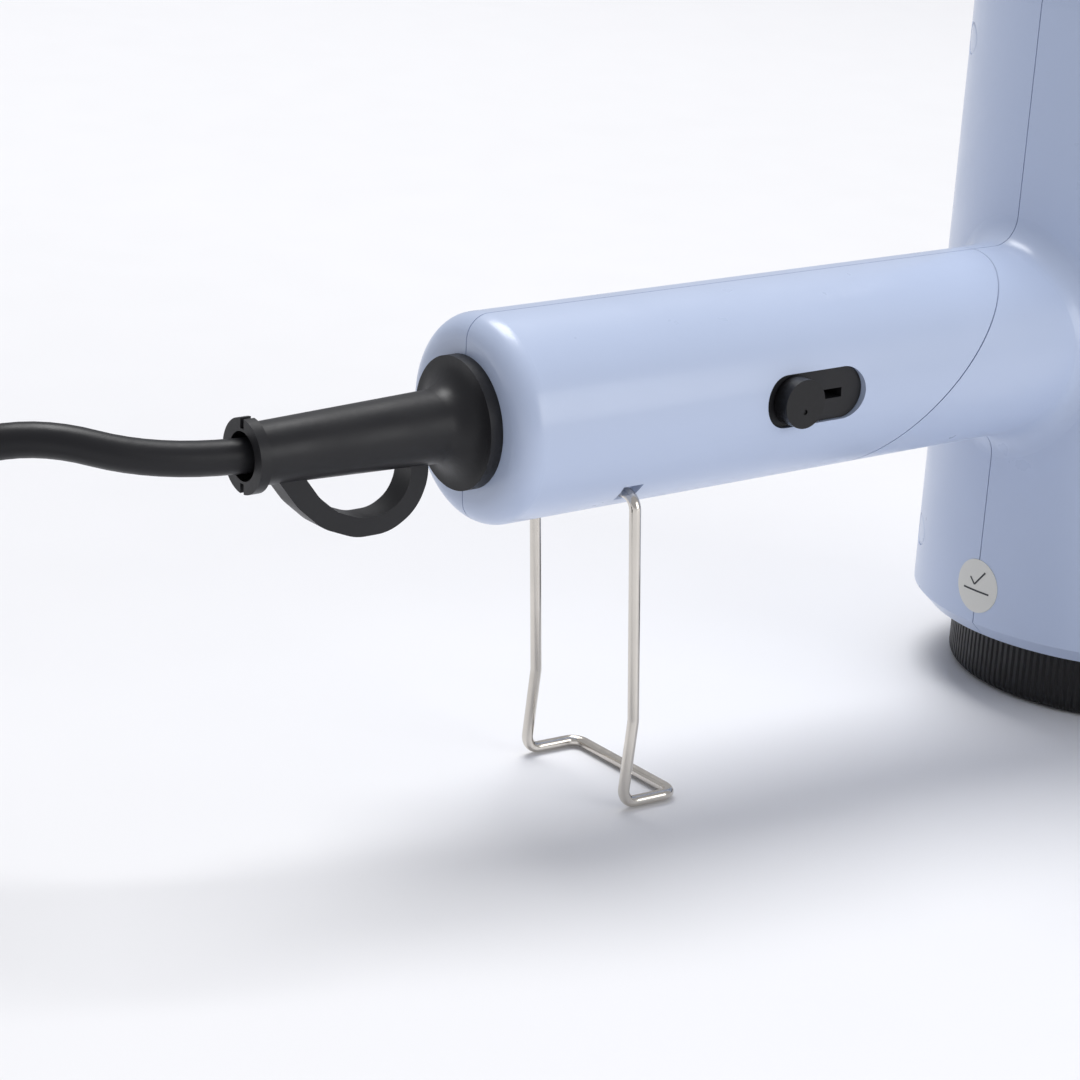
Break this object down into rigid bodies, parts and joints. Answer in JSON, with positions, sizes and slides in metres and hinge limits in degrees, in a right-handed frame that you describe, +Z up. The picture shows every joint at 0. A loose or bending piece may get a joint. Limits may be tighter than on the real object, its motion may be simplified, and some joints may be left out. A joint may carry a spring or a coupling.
{
  "type": "hot air gun",
  "caption": "Small pistol-grip hot air gun standing on its rear cap with outlet up, fold-out wire stand, slide switch, cord sleeve and coiled mains lead.",
  "frame": {"origin": "centre of the rear cap's resting face, on the surface the gun stands on", "axes": "+Z up along the barrel to the outlet, handle towards -X, switch faces -Y"},
  "size_m": [0.4519, 0.0844, 0.186],
  "materials": {
    "shell_blue": "satin gloss",
    "black_plastic": "fine matte",
    "knob_plastic": "satin",
    "mesh_steel": "woven",
    "duct_plastic": "matte",
    "motor_steel": "brushed",
    "nozzle_steel": "brushed",
    "mica": "matte",
    "heater_wire": "dull",
    "cutout_nylon": "matte",
    "fuse_metal": "satin",
    "switch_body": "matte",
    "board": "satin",
    "diode_body": "satin",
    "lead_brown": "satin",
    "lead_blue": "satin",
    "sleeve_rubber": "satin",
    "cord_rubber": "satin",
    "screw_steel": "zinc",
    "stand_chrome": "polished",
    "sticker_vinyl": "satin",
    "tie_rubber": "matte",
    "plug_rubber": "satin",
    "pin_nickel": "nickel"
  },
  "bodies": {
    "gun": {"barrel_shell_left": "shell_blue", "barrel_shell_right": "shell_blue", "handle_shell_left": "shell_blue", "handle_shell_right": "shell_blue", "rear_inlet_cap": "black_plastic", "inlet_mesh": "mesh_steel", "fan_duct": "duct_plastic", "fan_motor": "motor_steel", "nozzle_tube": "nozzle_steel", "front_collar": "black_plastic", "mica_sleeve": "mica", "heater_frame": "mica", "heater_coil": "heater_wire", "thermal_cutout": "cutout_nylon", "thermal_fuse": "fuse_metal", "switch_bezel": "black_plastic", "slide_switch": "switch_body", "rectifier_board": "board", "rectifier_diodes": "diode_body", "lead_live": "lead_brown", "lead_neutral": "lead_blue", "lead_heater": "lead_brown", "lead_motor": "lead_blue", "cord_sleeve": "sleeve_rubber", "cord_inside": "cord_rubber", "cord_clamp": "switch_body", "barrel_screws": "screw_steel", "handle_screws": "screw_steel", "clamp_screws": "screw_steel", "quality_sticker": "sticker_vinyl", "power_cord": "cord_rubber", "cord_tail": "cord_rubber", "cord_coil": "cord_rubber", "cord_tie": "tie_rubber", "plug_body": "plug_rubber", "plug_pins": "pin_nickel"},
    "stand": {"wire_stand": "stand_chrome"},
    "knob": {"switch_knob": "knob_plastic"},
    "fan_rotor": {"impeller": "duct_plastic", "motor_shaft": "motor_steel"}
  },
  "joints": [
    {"name": "stand_fold", "type": "hinge", "parent": "gun", "child": "stand", "pos_m": [-0.13189, 0, 0.05329], "axis": [0, -1, 0], "range_deg": [0, 71]},
    {"name": "switch_slide", "type": "slide", "parent": "gun", "child": "knob", "axis": [0.9994, 0, 0.0349], "range_m": [0, 0.0086]},
    {"name": "fan_spin", "type": "hinge", "parent": "gun", "child": "fan_rotor", "pos_m": [0, 0, 0.03], "axis": [0, 0, 1], "continuous": true}
  ]
}
